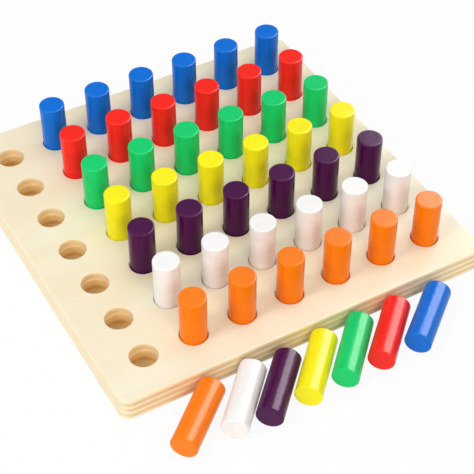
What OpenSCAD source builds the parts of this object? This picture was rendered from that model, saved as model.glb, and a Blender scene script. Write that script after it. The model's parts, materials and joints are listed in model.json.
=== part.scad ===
// A colour-sorting peg board: a square plywood board with a grid of blind holes, rows of painted
// dowel pegs that stand in them, and one peg of each colour lying in front of the board.
// Millimetres. The origin is the middle of the board's underside, +Z is up, rows run along X and
// the front of the board faces -Y.

/* [Board] */
// Thickness of the plywood
board_thick = 21; // [14:1:36]
// Distance from the middle of an outer hole to the board's edge
edge_margin = 35; // [26:1:60]
// Radius of the board's upright corners
corner_r = 10; // [4:0.5:25]
// Rounding of the board's upper and lower edges
board_edge_r = 1.2; // [0.4:0.1:3]

/* [Holes] */
// Number of holes in each row
columns = 7; // [3:1:8]
// Distance between the middles of neighbouring holes
pitch = 42.5; // [32:0.5:60]
// Wood left under each hole
hole_floor = 3; // [1.5:0.5:8]
// Rounding of each hole's rim
rim_r = 0.75; // [0.3:0.05:2]
// Diameter of the dimple that the drill's point leaves in the middle of each hole's floor
point_d = 4; // [1:0.5:8]
// Depth of that dimple
point_depth = 1.2; // [0.4:0.1:1.4]

/* [Pegs] */
// Diameter of a peg
peg_d = 21.5; // [12:0.5:26]
// Length of a peg
peg_len = 60; // [40:1:90]
// Rounding of a peg's two ends
peg_end_r = 1.2; // [0.4:0.1:4]
// Play between a peg and the wall of its hole, all round
peg_play = 0.5; // [0.1:0.05:1.5]

/* [Hidden] */
// Smoothness of round surfaces
$fn = 96;

// Rows from the back of the board to the front
ROW_NAMES = ["blue", "red", "green", "yellow", "purple", "white", "orange"];
ROW_PAINTS = ["#1f7fe6", "#ee2a24", "#22b55e", "#ffe014", "#4f1a5c", "#f6f4f0", "#ff850d"];
PLYWOOD = "#ecd9ae";
rows = len(ROW_NAMES);

// Loose pegs from left to right: the row each belongs to, the angle it lies at, and the air
// between its far end and the front of the board
LOOSE_ROWS = [6, 5, 4, 3, 2, 1, 0];
LOOSE_ANGLES = [41, 47, 46, 46.5, 46, 44, 39.5];
LOOSE_STAND_OFFS = [0.8, 1, 4.5, 1.7, 0.8, 0.8, 3.2];
// Air between each loose peg and the next one on its right
LOOSE_GAPS = [2.6, 0.5, 1.2, 1.6, 0.9, 0.6];
// Where the first loose peg's middle lies, from the outer hole on the left
LOOSE_START = 12;

board_w = (columns - 1) * pitch + 2 * edge_margin;
board_d = (rows - 1) * pitch + 2 * edge_margin;
hole_r = peg_d / 2 + peg_play;
// How far cutters reach past the surface they cut
overcut = 1;

function hole_x(column) = (column - (columns - 1) / 2) * pitch;
function hole_y(row) = ((rows - 1) / 2 - row) * pitch;

function standing_name(row, column) = str(ROW_NAMES[row], "_peg_", column);
function loose_name(place) = str(ROW_NAMES[LOOSE_ROWS[place]], "_peg_loose");

// A loose peg lies with its far end just clear of the board's front.
function loose_y(place) = -board_d / 2 - LOOSE_STAND_OFFS[place]
    - peg_len / 2 * sin(LOOSE_ANGLES[place]) - peg_d / 2 * cos(LOOSE_ANGLES[place]);

// Neighbours lie side by side at slightly different angles, so their ends come closer than their
// middles, and they are spaced for the ends.
function loose_step(place) =
    let (lean = (LOOSE_ANGLES[place] + LOOSE_ANGLES[place - 1]) / 2)
    let (spread = peg_len * sin(abs(LOOSE_ANGLES[place] - LOOSE_ANGLES[place - 1]) / 2))
    let (rise = loose_y(place) - loose_y(place - 1))
    (peg_d + LOOSE_GAPS[place - 1] + spread + rise * cos(lean)) / sin(lean);
function loose_x(place) = place == 0 ? hole_x(0) + LOOSE_START : loose_x(place - 1) + loose_step(place);

// The board's rounded rim in section, from the corner's centre line outwards
module rim_section() {
    flat = corner_r - board_edge_r;
    square([flat, board_thick]);
    translate([0, board_edge_r]) square([corner_r, board_thick - 2 * board_edge_r]);
    translate([flat, board_edge_r]) circle(board_edge_r);
    translate([flat, board_thick - board_edge_r]) circle(board_edge_r);
}

// A straight stretch of the board's rim along X, facing -Y
module rim_bar(length) {
    translate([-length / 2, 0, 0]) rotate([90, 0, 90]) mirror([1, 0]) linear_extrude(length) rim_section();
}

// The board before drilling: a core, four straight rims and four round corners
module board_blank() {
    core_w = board_w - 2 * corner_r;
    core_d = board_d - 2 * corner_r;
    translate([-core_w / 2, -core_d / 2, 0]) cube([core_w, core_d, board_thick]);
    for (end = [0, 180]) rotate(end) {
        translate([0, -core_d / 2, 0]) rim_bar(core_w);
        rotate(90) translate([0, -core_w / 2, 0]) rim_bar(core_d);
        translate([core_w / 2, core_d / 2, 0]) rotate_extrude(angle = 90) rim_section();
        translate([-core_w / 2, core_d / 2, 0]) rotate(90) rotate_extrude(angle = 90) rim_section();
    }
}

// What the drill takes away: a straight hole with a rounded rim and the mark of the drill's point
module hole_cutter() {
    translate([0, 0, hole_floor]) cylinder(r = hole_r, h = board_thick - hole_floor + overcut);
    translate([0, 0, hole_floor - point_depth]) cylinder(d1 = 0, d2 = point_d, h = point_depth);
    translate([0, 0, board_thick - rim_r]) rotate_extrude() difference() {
        square([hole_r + rim_r, rim_r]);
        translate([hole_r + rim_r, 0]) circle(rim_r);
    }
}

module board() {
    color(PLYWOOD) difference() {
        board_blank();
        for (row = [0:rows - 1]) for (column = [0:columns - 1])
            translate([hole_x(column), hole_y(row), 0]) hole_cutter();
    }
}

// A dowel with rounded ends, standing on the origin
module peg() {
    flat = peg_d / 2 - peg_end_r;
    rotate_extrude() {
        square([flat, peg_len]);
        translate([0, peg_end_r]) square([peg_d / 2, peg_len - 2 * peg_end_r]);
        translate([flat, peg_end_r]) circle(peg_end_r);
        translate([flat, peg_len - peg_end_r]) circle(peg_end_r);
    }
}

// A peg in its hole, on the hole's floor
module standing_peg(row, column) {
    color(ROW_PAINTS[row]) translate([hole_x(column), hole_y(row), hole_floor]) peg();
}

// A peg lying on the table in front of the board
module loose_peg(place) {
    color(ROW_PAINTS[LOOSE_ROWS[place]])
        translate([loose_x(place), loose_y(place), peg_d / 2])
            rotate([0, 90, LOOSE_ANGLES[place]])
                translate([0, 0, -peg_len / 2]) peg();
}

board();
for (row = [0:rows - 1]) for (column = [1:columns - 1])
    standing_peg(row, column);
for (place = [0:rows - 1])
    loose_peg(place);
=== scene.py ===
"""The looks of a colour-sorting peg board: bare plywood, and dowel pegs in satin paint.

Everything is in metres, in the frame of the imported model: the origin is the middle of the
board's underside, +Z is up, rows run along X and the front of the board faces -Y.
"""

import json
import math
import random

import bpy
from mathutils import Matrix, Vector

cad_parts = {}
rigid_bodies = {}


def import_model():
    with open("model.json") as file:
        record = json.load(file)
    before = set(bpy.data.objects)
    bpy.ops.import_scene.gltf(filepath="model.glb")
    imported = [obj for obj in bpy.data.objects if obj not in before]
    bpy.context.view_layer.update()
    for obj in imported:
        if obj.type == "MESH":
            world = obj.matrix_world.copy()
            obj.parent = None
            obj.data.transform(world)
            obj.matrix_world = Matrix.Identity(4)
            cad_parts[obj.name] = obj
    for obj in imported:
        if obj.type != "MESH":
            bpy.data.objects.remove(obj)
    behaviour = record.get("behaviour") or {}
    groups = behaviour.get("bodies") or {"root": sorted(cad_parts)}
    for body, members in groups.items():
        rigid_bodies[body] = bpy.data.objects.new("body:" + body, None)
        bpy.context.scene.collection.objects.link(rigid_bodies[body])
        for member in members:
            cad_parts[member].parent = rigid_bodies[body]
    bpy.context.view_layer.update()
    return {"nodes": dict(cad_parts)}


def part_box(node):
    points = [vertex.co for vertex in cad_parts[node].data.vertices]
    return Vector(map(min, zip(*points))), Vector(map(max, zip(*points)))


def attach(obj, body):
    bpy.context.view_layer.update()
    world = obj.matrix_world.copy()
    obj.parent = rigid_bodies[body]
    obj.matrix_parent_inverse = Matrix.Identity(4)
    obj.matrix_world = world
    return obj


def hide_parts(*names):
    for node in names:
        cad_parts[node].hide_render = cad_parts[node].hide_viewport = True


for leftover in list(bpy.data.objects):
    bpy.data.objects.remove(leftover)

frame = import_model()

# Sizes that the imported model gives
MM = 0.001
ROW_COLOURS = ["blue", "red", "green", "yellow", "purple", "white", "orange"]
STANDING_PER_ROW = 6
HOLES_PER_ROW = STANDING_PER_ROW + 1


def middle(node):
    """The middle of a node's box."""
    low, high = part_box(node)
    return (low + high) / 2


board_low, board_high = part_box("board")
board_thick = board_high.z - board_low.z
peg_low, peg_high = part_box("blue_peg_1")
peg_radius = (peg_high.x - peg_low.x) / 2
peg_length = peg_high.z - peg_low.z
hole_pitch = middle("blue_peg_2").x - middle("blue_peg_1").x

# Sizes that only the looks need
PEG_SIDES = 96
PEG_END_ROUNDING = 1.2 * MM
PEG_END_STEPS = 5
PEG_END_RINGS = (0.08, 0.3, 0.45)  # widths of the rings on a flat end, as shares of its radius
PEG_RINGS = 14
PEG_UNEVENNESS = 0.07 * MM
PEG_UNEVENNESS_SIZE = 14 * MM
PEG_SMOOTH_ANGLE = math.radians(50)
PAINT_RELIEF = 0.1 * MM
HOLE_RIM_REACH = 1.65 * MM  # from a peg's side to past the rim of its hole
PLY_COUNT = 7
PLY_SWAY = 0.5 * MM  # how much the height of a ply varies
PLYWOOD_RELIEF = 0.15 * MM

# Each peg's own shade, grain and turn, the same on every run
CHANCE_SEED = 49
chance = random.Random(CHANCE_SEED)


def srgb(red, green, blue):
    """A colour as a paint chart gives it, 0 to 255, as the linear values that shaders take."""

    def linear(byte):
        share = byte / 255
        return share / 12.92 if share <= 0.04045 else ((share + 0.055) / 1.055) ** 2.4

    return (linear(red), linear(green), linear(blue), 1.0)


# Paints, with the tones that a coat has where it is deep, and thin enough for wood to show
PAINTS = {
    "blue": srgb(4, 113, 220),
    "red": srgb(253, 40, 28),
    "green": srgb(18, 209, 114),
    "yellow": srgb(255, 244, 22),
    "purple": srgb(72, 4, 69),
    "white": srgb(248, 248, 248),
    "orange": srgb(255, 128, 0),
}
PAINT_DEEP = 0.86
PAINT_THIN = 0.92
WOOD_THROUGH = 0.04
PAINT_ROUGHNESS = 0.13
PAINT_SHINE = 0.17

# Plywood: its face, its cut edges and the walls of its holes
FACE_PALE = srgb(241, 234, 210)
FACE_WARM = srgb(239, 225, 193)
FACE_FLECK = srgb(216, 188, 142)
EDGE_LONG_GRAIN = srgb(251, 236, 203)
EDGE_END_GRAIN = srgb(232, 202, 143)
# End grain of the plies along the rows, seen only on the left and right faces: made pale as painted
# light there
EDGE_END_GRAIN_PALE_AND_LIT = srgb(249, 235, 202)
GLUE_LINE = srgb(180, 146, 100)
HOLE_TAN = srgb(252, 222, 162)
HOLE_BROWN = srgb(220, 172, 92)
SANDED_ROUGHNESS = 0.46
CUT_ROUGHNESS = 0.62
PLYWOOD_SHINE = 0.3
PLY_GRAIN_STEP = 37.0  # sets the grain of one ply apart from that of the next


class Value:
    """A number that varies over a surface, on which Python's arithmetic adds Math nodes."""

    def __init__(self, recipe, socket):
        self.recipe = recipe
        self.socket = socket

    def math(self, operation, *others):
        inputs = dict(enumerate((self, *others)))
        return self.recipe.value("ShaderNodeMath", {"operation": operation}, inputs)

    def swapped(self, operation, first):
        return self.recipe.value("ShaderNodeMath", {"operation": operation}, {0: first, 1: self})

    def __add__(self, other):
        return self.math("ADD", other)

    def __sub__(self, other):
        return self.math("SUBTRACT", other)

    def __mul__(self, other):
        return self.math("MULTIPLY", other)

    def __truediv__(self, other):
        return self.math("DIVIDE", other)

    def __mod__(self, other):
        return self.math("FLOORED_MODULO", other)

    def __rsub__(self, other):
        return self.swapped("SUBTRACT", other)

    def __abs__(self):
        return self.math("ABSOLUTE")

    __radd__ = __add__
    __rmul__ = __mul__

    def floor(self):
        return self.math("FLOOR")

    def nearest(self):
        return self.math("ROUND")

    def sine(self):
        return self.math("SINE")

    def clamped(self, low, high):
        return self.math("MAXIMUM", low).math("MINIMUM", high)

    def rise(self, low, high):
        """0 below low and 1 above high, with a smooth way between."""
        settings = {"interpolation_type": "SMOOTHSTEP"}
        sockets = {"Value": self, "From Min": low, "From Max": high}
        return self.recipe.value("ShaderNodeMapRange", settings, sockets, "Result")


class Recipe:
    """The node tree of a material or of the surround, with the steps that it is written in."""

    def __init__(self, owner):
        self.owner = owner
        owner.use_nodes = True
        self.tree = owner.node_tree

    def node(self, kind, settings=None, sockets=None):
        """A node with its settings, then the values or links of its sockets."""
        made = self.tree.nodes.new(kind)
        for setting, wanted in (settings or {}).items():
            setattr(made, setting, wanted)
        for name, wanted in (sockets or {}).items():
            self.feed(made.inputs[name], wanted)
        return made

    def feed(self, socket, wanted):
        if isinstance(wanted, Value):
            wanted = wanted.socket
        if isinstance(wanted, bpy.types.NodeSocket):
            self.tree.links.new(wanted, socket)
        else:
            socket.default_value = wanted

    def value(self, kind, settings, sockets, output=0):
        return Value(self, self.node(kind, settings, sockets).outputs[output])

    def set(self, **sockets):
        """Feeds the surface shader, with Base_Color for Base Color."""
        shader = self.tree.nodes["Principled BSDF"]
        for name, wanted in sockets.items():
            self.feed(shader.inputs[name.replace("_", " ")], wanted)

    def vector(self, x, y, z):
        return self.node("ShaderNodeCombineXYZ", None, {"X": x, "Y": y, "Z": z}).outputs[0]

    def split(self, socket):
        made = self.node("ShaderNodeSeparateXYZ", None, {0: socket})
        return [Value(self, made.outputs[axis]) for axis in range(3)]

    def place(self):
        """The point of the surface in the object's own coordinates, in millimetres."""
        point = self.node("ShaderNodeTexCoord").outputs["Object"]
        sockets = {0: point, "Scale": 1 / MM}
        return self.node("ShaderNodeVectorMath", {"operation": "SCALE"}, sockets).outputs[0]

    def noise(self, x, y, z, detail=2.0, roughness=0.5):
        """Cloudy noise from 0 to 1, about one blotch for each unit of x, y and z."""
        point = self.vector(x, y, z)
        sockets = {"Vector": point, "Scale": 1.0, "Detail": detail, "Roughness": roughness}
        return self.value("ShaderNodeTexNoise", None, sockets, "Fac")

    def mix(self, share, first, second):
        """The first colour where share is 0, the second where it is 1."""
        made = self.node("ShaderNodeMix", {"data_type": "RGBA"}, {0: share, 6: first, 7: second})
        return made.outputs[2]

    def shows_background(self):
        """1 for rays that show the background: from the camera, a reflection or glass."""
        path = self.node("ShaderNodeLightPath")
        rays = ("Is Camera Ray", "Is Glossy Ray", "Is Transmission Ray")
        camera, glossy, glass = (Value(self, path.outputs[ray]) for ray in rays)
        return camera.math("MAXIMUM", glossy).math("MAXIMUM", glass)

    def relief(self, height, strength, depth):
        """A bump in which a height of 1 stands for that depth, in metres."""
        sockets = {"Strength": strength, "Distance": depth, "Height": height}
        self.set(Normal=self.node("ShaderNodeBump", None, sockets).outputs[0])


def plywood_finish():
    """Sanded plywood under a clear seal. Height picks the ply, so edges, hole walls and hole
    floors show the layers that they cut."""
    finish = Recipe(bpy.data.materials.new("plywood_finish"))
    x, y, z = finish.split(finish.place())
    normal = finish.node("ShaderNodeNewGeometry").outputs["Normal"]
    across_x, across_y, upward = (abs(part) for part in finish.split(normal))
    flat = upward.rise(0.55, 0.85)

    thick = board_thick / MM
    sway = finish.noise(x * 0.02, y * 0.02, 0.0) - 0.5
    depth = (z + sway * (PLY_SWAY / MM)) / (thick / PLY_COUNT)
    ply = depth.floor().clamped(0, PLY_COUNT - 1)
    along_y = ply % 2
    along = x + (y - x) * along_y
    across = y + (x - y) * along_y
    layer = ply * PLY_GRAIN_STEP

    # Grain of each ply: long fibres, short pores, and a slow drift of tone
    fibre = finish.noise(along * 0.012, across * 0.45, z * 0.45 + layer, detail=4.0, roughness=0.6)
    pore = finish.noise(along * 0.09, across * 2.2, z * 2.2 + layer).rise(0.62, 0.74)
    drift = finish.noise(along * 0.006, across * 0.022, layer, detail=3.0)

    # The face veneer's figure: faint wavy bands along the rows
    wander = finish.noise(x * 0.005, y * 0.016, 3.0) * 19.8
    bands = (y * 0.42 + wander).sine() * 0.5 + 0.5
    figure = bands * finish.noise(x * 0.01, y * 0.05, 7.0).rise(0.4, 0.75)
    face = finish.mix(drift.rise(0.3, 0.7), FACE_PALE, FACE_WARM)
    face = finish.mix(figure * 0.4 + fibre.rise(0.45, 0.8) * 0.4, face, FACE_WARM)
    face = finish.mix(pore * fibre.rise(0.42, 0.65) * 0.6, face, FACE_FLECK)

    # Cut edges: pale along the grain and pitted across it, with dark glue lines between. Plies that
    # run from front to back have the browner end grain; the end grain of the others, seen only on the
    # left and right faces, is paler, which is painted light on those faces
    cut_across = across_x + (across_y - across_x) * along_y
    pits = finish.noise(x * 1.4, y * 1.4, z * 1.4, roughness=0.7)
    end_grain = finish.mix(along_y, EDGE_END_GRAIN_PALE_AND_LIT, EDGE_END_GRAIN)
    edge = finish.mix(cut_across * (0.45 + 0.7 * fibre), EDGE_LONG_GRAIN, end_grain)
    edge = finish.mix(pits.rise(0.5, 0.75) * cut_across * (0.2 + along_y * 0.3), edge, GLUE_LINE)
    within = depth - depth.floor()
    seam = abs(within - 0.5).rise(0.44, 0.5)
    edge = finish.mix(seam * 0.45, edge, GLUE_LINE)

    # Hole walls and floors: rings that the drill left, and brown that is partly wood that it browned
    # and partly painted shade, most of all low on the walls
    row_reach = (HOLES_PER_ROW - 1) / 2
    pitch = hole_pitch / MM
    off_x = x - (x / pitch).nearest().clamped(-row_reach, row_reach) * pitch
    off_y = y - (y / pitch).nearest().clamped(-row_reach, row_reach) * pitch
    from_axis = (off_x * off_x + off_y * off_y).math("SQRT")
    rim = (peg_radius + HOLE_RIM_REACH) / MM
    in_hole = (1 - from_axis.rise(rim - 0.8, rim)) * (1 - z.rise(thick - 0.9, thick - 0.1))
    chatter = finish.noise(off_x * 0.2, off_y * 0.2, z * 1.2) * 6.0
    turning = (from_axis * 3.2 + chatter + z * 2.6).sine() * 0.5 + 0.5
    walls = finish.mix(0.2 + turning * 0.25, edge, HOLE_TAN)
    # More brown low in the hole and less on floors: partly drill browning, partly painted shade deep
    # in the hole
    drill_brown_and_depth_shade = (0.75 - z.rise(2.0, thick - 3.0) * 0.7) * (1 - flat * 0.5)
    walls = finish.mix(drill_brown_and_depth_shade, walls, HOLE_BROWN)

    colour = finish.mix(flat, edge, face)
    colour = finish.mix(in_hole, colour, walls)
    finish.set(Base_Color=colour)
    roughness = CUT_ROUGHNESS + flat * (SANDED_ROUGHNESS - CUT_ROUGHNESS)
    finish.set(Roughness=roughness + fibre * 0.1 + in_hole * 0.1)
    finish.set(Specular_IOR_Level=PLYWOOD_SHINE)
    cut = 1 - flat
    height = fibre * 0.5 - pore * 0.35 + pits * cut * 0.5 + turning * in_hole * 0.8 - seam * cut * 0.6
    finish.relief(height, strength=0.35, depth=PLYWOOD_RELIEF)
    return finish.owner


def toned(paint, share, lift=0.0):
    """A paint brought down to a share of itself, then lifted towards white."""
    red, green, blue, alpha = paint
    return (red * share + lift, green * share + lift, blue * share + lift, alpha)


def painted_finish(colour_name):
    """Satin paint on a wooden dowel, which shows the fibres under it and its two cut ends. The
    attribute grain holds the peg's own coordinates, in millimetres, with its axis along Z, and
    the attribute dowel a number of the peg's own."""
    finish = Recipe(bpy.data.materials.new(colour_name + "_paint_finish"))
    grain = finish.node("ShaderNodeAttribute", {"attribute_name": "grain"}).outputs["Vector"]
    x, y, z = finish.split(grain)
    own = finish.value("ShaderNodeAttribute", {"attribute_name": "dowel"}, {}, "Fac")
    paint = PAINTS[colour_name]
    deep = toned(paint, PAINT_DEEP)
    thin = toned(paint, PAINT_THIN, WOOD_THROUGH)

    # Fibres, drifts of tone, fine specks, slow waves and brush streaks, each peg with its own
    fibre = finish.noise(x * 1.1, y * 1.1, z * 0.05 + own * 90.0, detail=3.0, roughness=0.6)
    blotch = finish.noise(x * 0.09, y * 0.09, z * 0.09 + own * 50.0)
    speck = finish.noise(x * 2.6, y * 2.6, z * 2.6 + own * 70.0, detail=1.0)
    ripple = finish.noise(x * 0.45, y * 0.45, z * 0.3 + own * 30.0, detail=1.0)
    streak = finish.noise(x, y, z * 0.25 + own * 110.0, roughness=0.6)

    # The flat ends, and the rounded rims where the coat is thin
    half = peg_length / MM / 2
    radius = peg_radius / MM
    from_axis = (x * x + y * y).math("SQRT")
    on_end = abs(z).rise(half - 0.5, half - 0.05)
    rim = abs(z).rise(half - 1.6, half - 0.4) * from_axis.rise(radius - 1.5, radius - 0.3)

    shade = own * 0.2 + blotch.rise(0.25, 0.8) * 0.4 + fibre.rise(0.35, 0.75) * 0.25
    colour = finish.mix(shade, paint, deep)
    colour = finish.mix(rim * (0.08 + speck.rise(0.5, 0.7) * 0.4), colour, thin)
    finish.set(Base_Color=colour)
    finish.set(Roughness=PAINT_ROUGHNESS + fibre * 0.08 + on_end * 0.03 + rim * 0.2 + speck * 0.05)
    finish.set(Specular_IOR_Level=PAINT_SHINE)
    height = fibre * 0.8 + ripple * 2.0 + streak * 2.6 + speck * (0.4 + on_end * 0.35)
    finish.relief(height, strength=0.4, depth=PAINT_RELIEF)
    return finish.owner


def pick_faces(piece, wanted):
    """In edit mode, selects just the faces for which wanted(face) holds."""
    bpy.ops.object.mode_set(mode="OBJECT")
    for part in (piece.data.vertices, piece.data.edges, piece.data.polygons):
        part.foreach_set("select", [False] * len(part))
    for face in piece.data.polygons:
        face.select = wanted(face)
    bpy.ops.object.mode_set(mode="EDIT")


def peg_blank():
    """One dowel, its middle at the origin and its axis along Z: rounded ends with a fine disc of
    faces on each, and rings along its length."""

    def whole_end(face):
        """Only an end, or what the insets leave of it, has as many corners as the peg has sides."""
        return len(face.vertices) == PEG_SIDES

    bpy.ops.object.select_all(action="DESELECT")
    bpy.ops.mesh.primitive_cylinder_add(
        vertices=PEG_SIDES, radius=peg_radius, depth=peg_length, end_fill_type="NGON", calc_uvs=False
    )
    blank = bpy.context.object
    blank.name = "peg_blank"
    bpy.ops.object.mode_set(mode="EDIT")
    bpy.ops.mesh.select_mode(type="FACE")
    pick_faces(blank, whole_end)
    bpy.ops.mesh.region_to_loop()
    bpy.ops.mesh.bevel(offset=PEG_END_ROUNDING, segments=PEG_END_STEPS, profile=0.5, affect="EDGES")
    bpy.ops.mesh.select_mode(type="FACE")
    flat_end = peg_radius - PEG_END_ROUNDING
    for share in PEG_END_RINGS:
        pick_faces(blank, whole_end)
        bpy.ops.mesh.inset(thickness=share * flat_end, use_individual=True)
    pick_faces(blank, whole_end)
    bpy.ops.mesh.poke()
    side_height = peg_length - 2 * PEG_END_ROUNDING
    for ring in range(1, PEG_RINGS):
        bpy.ops.mesh.select_all(action="SELECT")
        level = -side_height / 2 + side_height * ring / PEG_RINGS
        bpy.ops.mesh.bisect(plane_co=(0, 0, level), plane_no=(0, 0, 1))
    bpy.ops.mesh.select_all(action="SELECT")
    bpy.ops.mesh.normals_make_consistent(inside=False)
    bpy.ops.object.mode_set(mode="OBJECT")
    return blank


def dress_peg(blank, unevenness, node, turn, finish):
    """A copy of the blank that stands for a CAD peg: turned and placed as the node is, slightly
    uneven as a sanded and painted dowel is, and painted."""
    piece = bpy.data.objects.new(node + "_painted", blank.data.copy())
    bpy.context.scene.collection.objects.link(piece)
    mesh = piece.data
    grain = mesh.attributes.new("grain", "FLOAT_VECTOR", "POINT")
    for vertex, own in zip(mesh.vertices, grain.data):
        own.vector = vertex.co / MM
    dowel = mesh.attributes.new("dowel", "FLOAT", "POINT")
    dowel.data.foreach_set("value", [chance.random()] * len(mesh.vertices))
    spin = Matrix.Rotation(chance.uniform(0, 2 * math.pi), 4, "Z")
    mesh.transform(Matrix.Translation(middle(node)) @ turn @ spin)
    bpy.ops.object.select_all(action="DESELECT")
    piece.select_set(True)
    bpy.context.view_layer.objects.active = piece
    uneven = piece.modifiers.new("uneven", "DISPLACE")
    uneven.texture = unevenness
    uneven.texture_coords = "LOCAL"
    uneven.strength = PEG_UNEVENNESS
    bpy.ops.object.modifier_apply(modifier=uneven.name)
    bpy.ops.object.shade_smooth_by_angle(angle=PEG_SMOOTH_ANGLE)
    mesh.materials.append(finish)
    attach(piece, node)
    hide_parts(node)


def loose_turn(node):
    """The turn that lays an upright peg down as a loose node lies. The less the box of a lying
    peg is wider along X than along Y, the more its axis leans from X to Y."""
    low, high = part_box(node)
    excess = (high.x - low.x) - (high.y - low.y)
    lean = math.acos(excess / (math.sqrt(2) * (peg_length - 2 * peg_radius))) - math.pi / 4
    return Matrix.Rotation(lean, 4, "Z") @ Matrix.Rotation(math.pi / 2, 4, "Y")


# The board keeps its CAD shape, and each peg is a dressed copy of one blank
frame["nodes"]["board"].material_slots[0].material = plywood_finish()

unevenness = bpy.data.textures.new("dowel_unevenness", "CLOUDS")
unevenness.noise_scale = PEG_UNEVENNESS_SIZE
upright = Matrix.Identity(4)
blank = peg_blank()
for colour_name in ROW_COLOURS:
    finish = painted_finish(colour_name)
    for number in range(1, STANDING_PER_ROW + 1):
        dress_peg(blank, unevenness, f"{colour_name}_peg_{number}", upright, finish)
    loose = colour_name + "_peg_loose"
    dress_peg(blank, unevenness, loose, loose_turn(loose), finish)
bpy.data.objects.remove(blank)

# Camera, from the photograph's viewing angle
PHOTO_PIXELS = 474
FOCAL_PIXELS = 1362
SENSOR = 36
VIEW_AZIMUTH = math.radians(-29.43)
VIEW_ELEVATION = math.radians(44.99)
VIEW_TARGET = Vector((-5.2 * MM, -53.0 * MM, board_high.z))
VIEW_DISTANCE = 1107.7 * MM
VIEW_NEAR = 10 * MM

back = Vector((
    math.sin(VIEW_AZIMUTH) * math.cos(VIEW_ELEVATION),
    -math.cos(VIEW_AZIMUTH) * math.cos(VIEW_ELEVATION),
    math.sin(VIEW_ELEVATION),
))
bpy.ops.object.camera_add(
    location=VIEW_TARGET + back * VIEW_DISTANCE,
    rotation=back.to_track_quat("Z", "Y").to_euler(),
)
camera = bpy.context.object
camera.data.sensor_width = SENSOR
camera.data.lens = FOCAL_PIXELS * SENSOR / PHOTO_PIXELS
camera.data.clip_start = VIEW_NEAR
bpy.context.scene.camera = camera

# Studio: a white table, a white surround, a cool softbox above, a warm one in front and a white one
# on the left, with a gleam on the gloss from the right
TABLE_SIZE = 12.0
TABLE_WHITE = (0.88, 0.88, 0.88, 1.0)
TABLE_GLOW = 0.91
SURROUND_FILL = 0.42
CEILING_GLEAM = 0.2
CEILING_STARTS = 0.2
CEILING_FULL = 0.55
WHITE_LAMP = (1.0, 1.0, 1.0)
WARM_LAMP = (1.0, 0.92, 0.8)
COOL_LAMP = (0.9, 0.96, 1.0)


def white_table():
    """Seen as almost white, with a share of its own shading so that it keeps the shadows."""
    bpy.ops.mesh.primitive_plane_add(size=TABLE_SIZE, location=(0, 0, board_low.z))
    table = bpy.context.object
    table.name = "table"
    top = Recipe(bpy.data.materials.new("white_table"))
    matt = top.node("ShaderNodeBsdfDiffuse", None, {"Color": TABLE_WHITE})
    glow = top.node("ShaderNodeEmission")
    share = top.shows_background() * TABLE_GLOW
    both = top.node("ShaderNodeMixShader", None, {0: share, 1: matt.outputs[0], 2: glow.outputs[0]})
    top.feed(top.tree.nodes["Material Output"].inputs["Surface"], both.outputs[0])
    table.data.materials.append(top.owner)


def white_surround():
    """White where it is seen near the horizon, dimmer above, and a soft fill on the object."""
    surround = Recipe(bpy.data.worlds.new("white_surround"))
    height = surround.split(surround.node("ShaderNodeTexCoord").outputs["Generated"])[2]
    seen = 1 - height.rise(CEILING_STARTS, CEILING_FULL) * (1 - CEILING_GLEAM)
    strength = SURROUND_FILL + surround.shows_background() * (seen - SURROUND_FILL)
    background = surround.tree.nodes["Background"]
    surround.feed(background.inputs["Color"], (1, 1, 1, 1))
    surround.feed(background.inputs["Strength"], strength)
    bpy.context.scene.world = surround.owner


def softbox(name, aim, direction, distance, width, height, power, roll=0, tint=WHITE_LAMP):
    """A rectangular lamp that faces a point from that direction."""
    away = Vector(direction).normalized()
    facing = away.to_track_quat("Z", "Y").to_matrix() @ Matrix.Rotation(math.radians(roll), 3, "Z")
    bpy.ops.object.light_add(type="AREA", location=aim + away * distance, rotation=facing.to_euler())
    lamp = bpy.context.object
    lamp.name = name
    lamp.data.shape = "RECTANGLE"
    lamp.data.size = width
    lamp.data.size_y = height
    lamp.data.energy = power
    lamp.data.color = tint
    return lamp


white_table()
white_surround()
board_middle = Vector((0, 0, board_high.z))
loose_middle = middle("yellow_peg_loose")
softbox(
    "top_softbox", aim=board_middle, direction=(0.1, 0.32, 1.0),
    distance=1.2, width=1.0, height=1.0, power=3.7, tint=COOL_LAMP,
)
softbox(
    "front_softbox", aim=board_middle, direction=(-0.1, -0.81, 0.58),
    distance=4.0, width=2.4, height=1.6, power=60.0, tint=WARM_LAMP,
)
softbox(
    "left_softbox", aim=board_middle, direction=(-0.73, -0.12, 0.67),
    distance=2.4, width=0.7, height=0.7, power=20.5,
)
gleam = softbox(
    "right_gleam", aim=loose_middle, direction=(0.74, 0.15, 0.66),
    distance=1.0, width=0.8, height=1.1, power=39.0, roll=44,
)
gleam.visible_diffuse = False

bpy.context.scene.view_settings.view_transform = "Standard"
